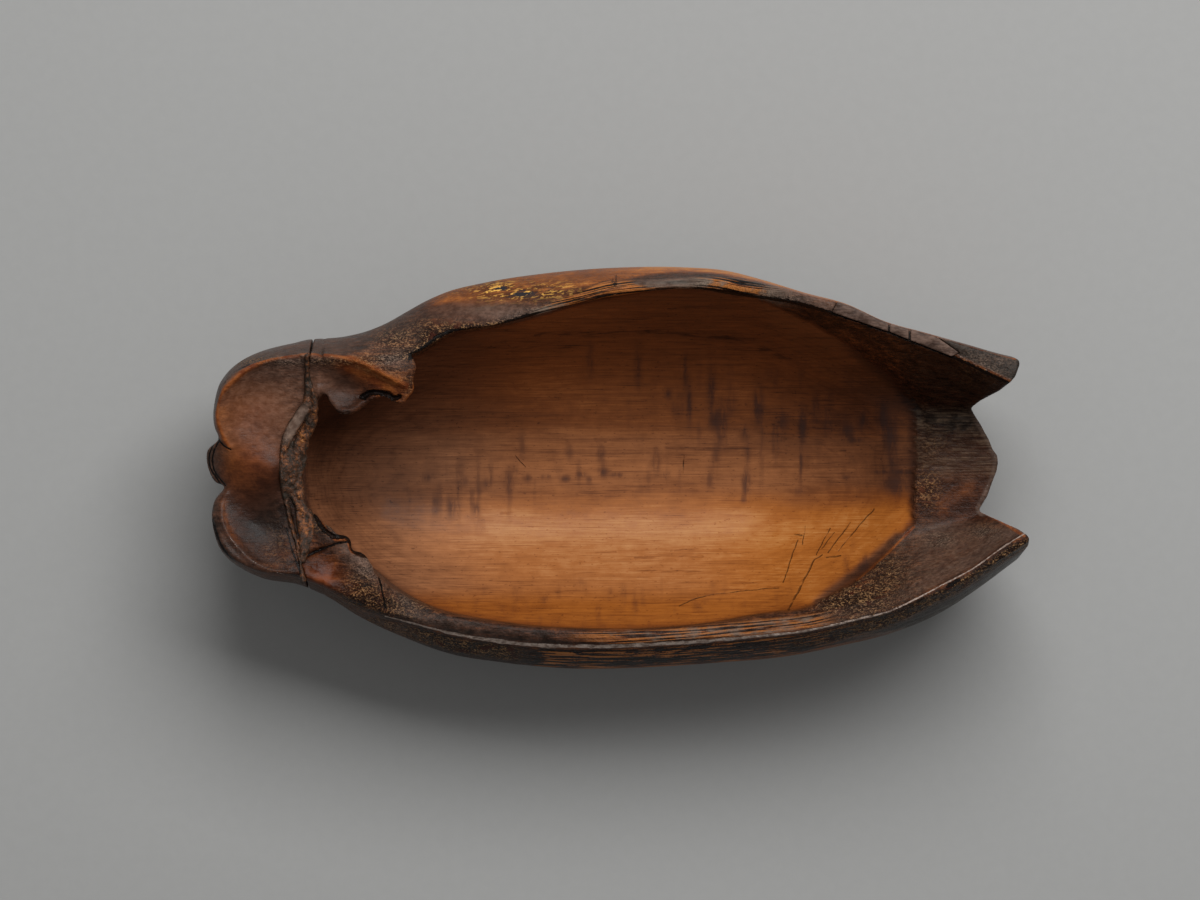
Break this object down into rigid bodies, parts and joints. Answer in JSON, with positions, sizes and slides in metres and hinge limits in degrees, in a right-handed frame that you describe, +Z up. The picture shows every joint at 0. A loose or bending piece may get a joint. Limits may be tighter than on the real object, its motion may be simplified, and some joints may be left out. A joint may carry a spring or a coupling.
{
  "type": "carved wooden bowl",
  "caption": "Long hollow vessel carved from dark wood, with a lobed head at one end, a smooth open cavity, and a pointed open tail at the other.",
  "frame": {"origin": "middle of the flat foot, on the plane that the bowl rests on", "axes": "+X along the length from the head to the tail, +Y to the vessel's left side, +Z up out of the open cavity"},
  "size_m": [0.2044, 0.1007, 0.0533],
  "materials": {
    "cavity_wood": "hand-polished and oiled inside, dark patina outside",
    "dark_wood": "dark patina, worn orange on its edges",
    "dowel_wood": "plain, hidden",
    "splice_wood": "flat cut, stained to match",
    "resin": "crusty, dull, brown",
    "dark_resin": "dark, slightly glossy"
  },
  "bodies": {
    "root": {"hull": "cavity_wood", "head_block": "dark_wood", "head_dowels": "dowel_wood", "seam_resin": "resin", "rim_splice_front": "splice_wood", "rim_splice_middle": "splice_wood", "rim_splice_rear": "splice_wood", "splice_resin": "dark_resin"}
  },
  "joints": []
}
